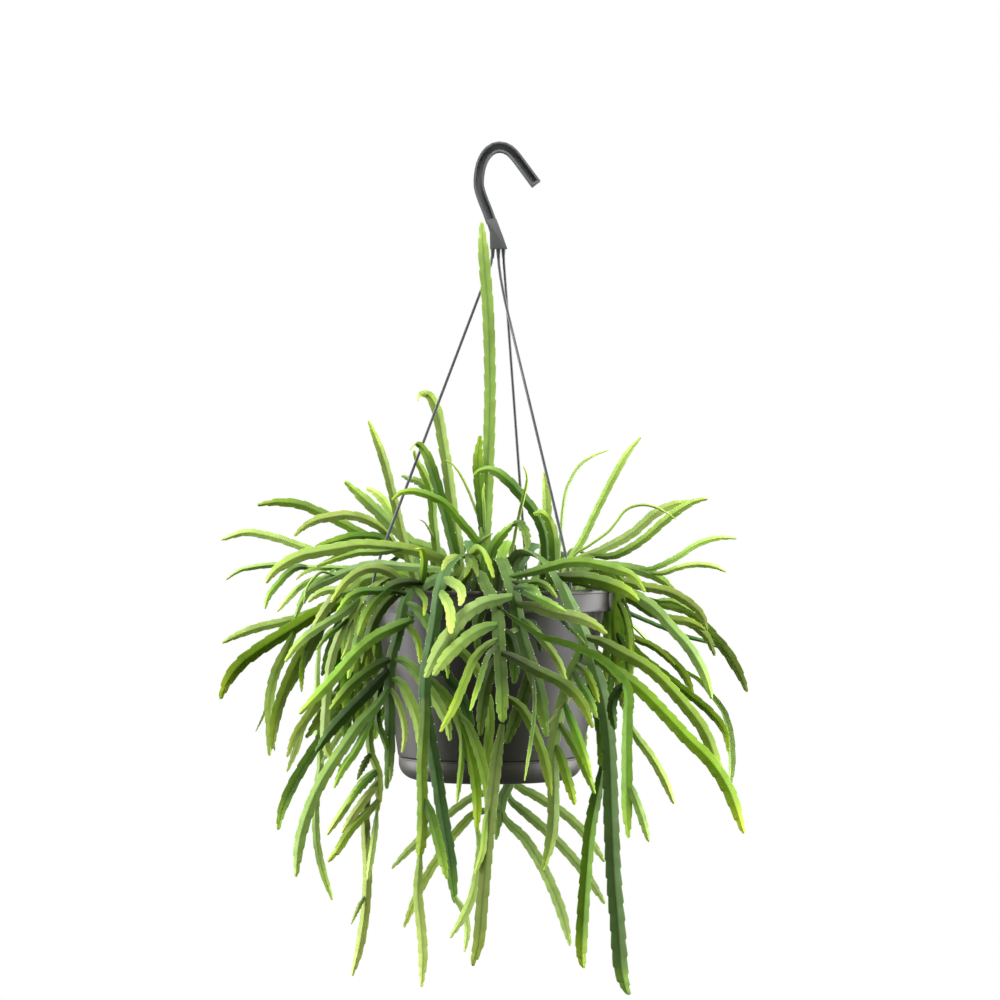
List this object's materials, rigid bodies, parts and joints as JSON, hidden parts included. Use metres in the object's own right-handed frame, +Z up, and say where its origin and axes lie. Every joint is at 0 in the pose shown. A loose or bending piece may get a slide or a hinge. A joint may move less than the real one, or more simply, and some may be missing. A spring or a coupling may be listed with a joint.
{
  "type": "potted lepismium bolivianum",
  "caption": "Hanging pot plant: arching flat notched cactus stems spilling over a round nursery pot that hangs by thin strands from a plastic hook.",
  "frame": {"origin": "inner top of the hook's bend, where the object hangs", "axes": "+Z up along the line the object hangs on, +X to the right of the picture, +Y away from it"},
  "size_m": [0.324, 0.2504, 0.5026],
  "materials": {
    "stem_mature": "satin",
    "stem_sage": "satin",
    "stem_dark": "satin",
    "stem_mid": "satin",
    "stem_bright": "satin",
    "stem_pale": "satin",
    "soil": "matte",
    "pot_plastic": "satin",
    "hook_plastic": "satin"
  },
  "bodies": {
    "root": {"hook": "hook_plastic", "strand_left": "hook_plastic", "strand_right": "hook_plastic", "strand_back": "hook_plastic", "pot": "pot_plastic", "drip_tray": "pot_plastic", "soil": "soil", "shoot_upright_pale": "stem_sage", "shoot_upright_left": "stem_mid", "shoot_tall": "stem_pale", "shoot_hooked": "stem_dark", "shoot_high_arch": "stem_bright", "shoot_left_high": "stem_sage", "shoot_left_grey": "stem_sage", "shoot_centre_arch": "stem_dark", "shoot_thin": "stem_sage", "shoot_short_arch": "stem_dark", "shoot_short_hooked": "stem_dark", "shoot_right_serrated": "stem_sage", "shoot_right_thin_tall": "stem_sage", "shoot_right_pale": "stem_pale", "shoot_right_thin_arch": "stem_pale", "shoot_right_high": "stem_sage", "shoot_left_back": "stem_mid", "shoot_left_long": "stem_pale", "shoot_left_thin": "stem_pale", "shoot_left_arch": "stem_sage", "shoot_left_wide": "stem_bright", "shoot_left_under": "stem_dark", "shoot_left_grey_fall": "stem_sage", "shoot_right_back": "stem_sage", "shoot_right_wide": "stem_pale", "shoot_right_grey": "stem_sage", "shoot_right_under": "stem_mature", "shoot_front_long": "stem_mature", "shoot_front_right": "stem_mature", "shoot_front_middle": "stem_mature", "shoot_front_left_long": "stem_mature", "shoot_front_short": "stem_mid", "shoot_front_left": "stem_mature", "shoot_back_centre": "stem_mature", "shoot_back_1": "stem_mid", "shoot_back_2": "stem_dark", "shoot_back_3": "stem_mature", "shoot_back_4": "stem_mid", "shoot_back_5": "stem_dark", "shoot_back_6": "stem_mature", "shoot_back_7": "stem_mid", "shoot_back_8": "stem_mature", "shoot_back_9": "stem_dark", "shoot_side_1": "stem_dark", "shoot_side_2": "stem_mid", "shoot_side_3": "stem_dark", "shoot_side_4": "stem_mid", "shoot_side_5": "stem_mature", "shoot_side_6": "stem_mid", "shoot_side_7": "stem_mature", "shoot_side_8": "stem_mid", "shoot_side_9": "stem_dark"}
  },
  "joints": []
}
